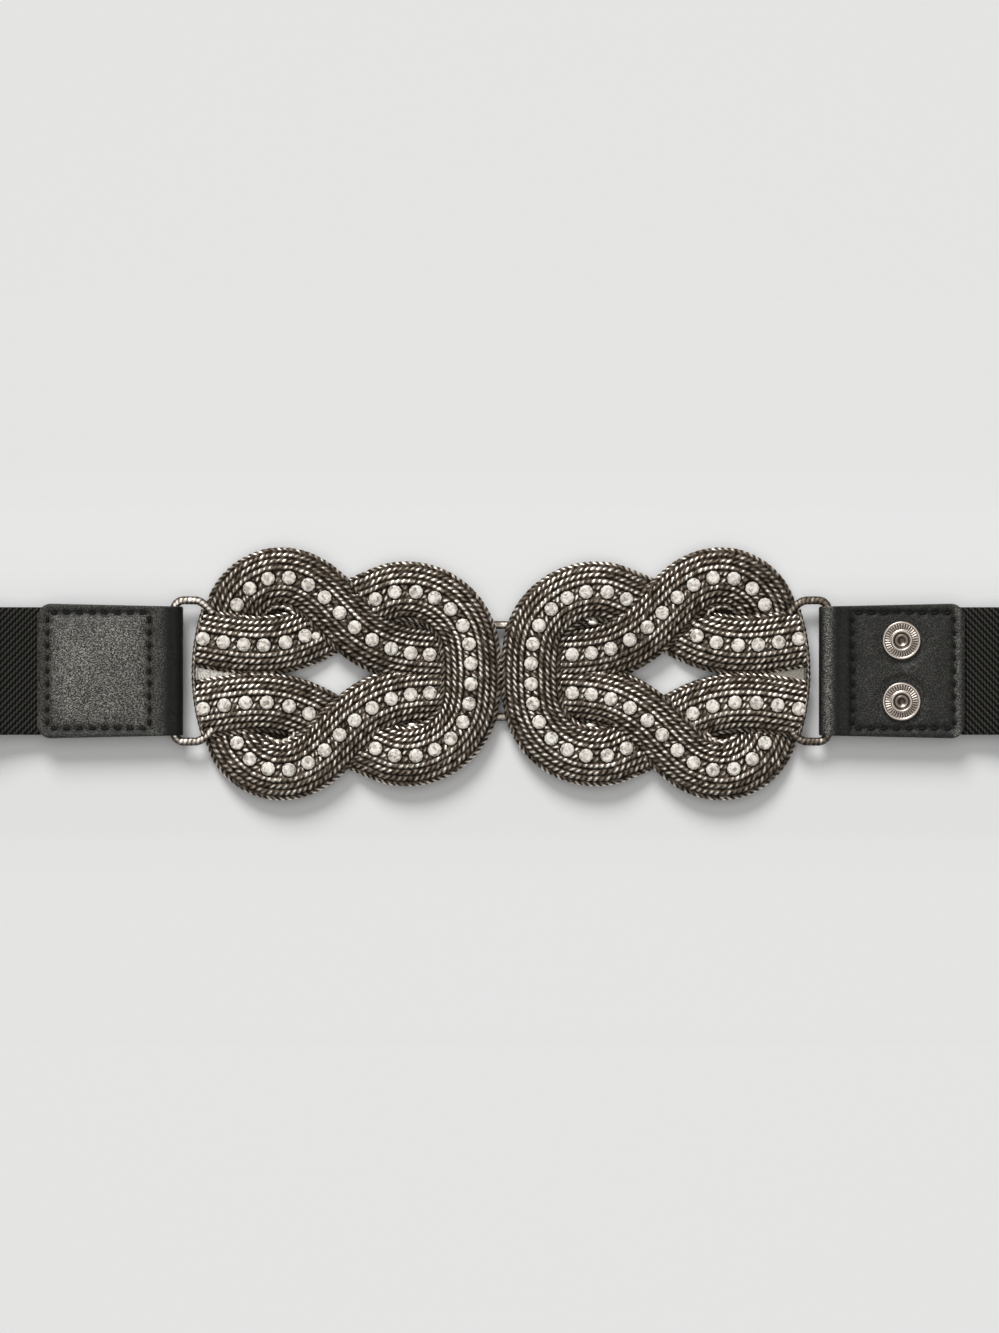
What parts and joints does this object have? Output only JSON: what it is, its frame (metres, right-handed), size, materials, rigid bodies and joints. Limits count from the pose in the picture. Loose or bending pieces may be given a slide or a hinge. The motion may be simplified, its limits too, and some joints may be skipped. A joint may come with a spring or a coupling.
{
  "type": "stretch belt",
  "caption": "Wide black stretch belt with leather tabs and a fastened cast knot buckle set with clear stones, folded flat.",
  "frame": {"origin": "bottom centre of the bounding box, under the middle of the back run, on the surface that the belt lies on", "axes": "+X along the belt towards the tab with the snaps, +Y towards its upper edge as worn, +Z out of its face"},
  "size_m": [0.36, 0.0754, 0.0132],
  "materials": {
    "elastic_webbing": "woven twill",
    "black_leather": "satin, fine grain",
    "antique_silver": "cast, darkened in the recesses",
    "nickel": "pressed, polished",
    "crystal": "faceted, foiled back"
  },
  "bodies": {
    "root": {"elastic_band": "elastic_webbing", "left_tab": "black_leather", "right_tab": "black_leather", "left_knot": "antique_silver", "right_knot": "antique_silver", "clasp_loop": "antique_silver", "snap_upper": "nickel", "snap_lower": "nickel", "left_stones_loop": "crystal", "left_stones_curl_upper": "crystal", "left_stones_curl_lower": "crystal", "left_stones_bar_upper": "crystal", "left_stones_bar_lower": "crystal", "right_stones_loop": "crystal", "right_stones_curl_upper": "crystal", "right_stones_curl_lower": "crystal", "right_stones_bar_upper": "crystal", "right_stones_bar_lower": "crystal"}
  },
  "joints": []
}
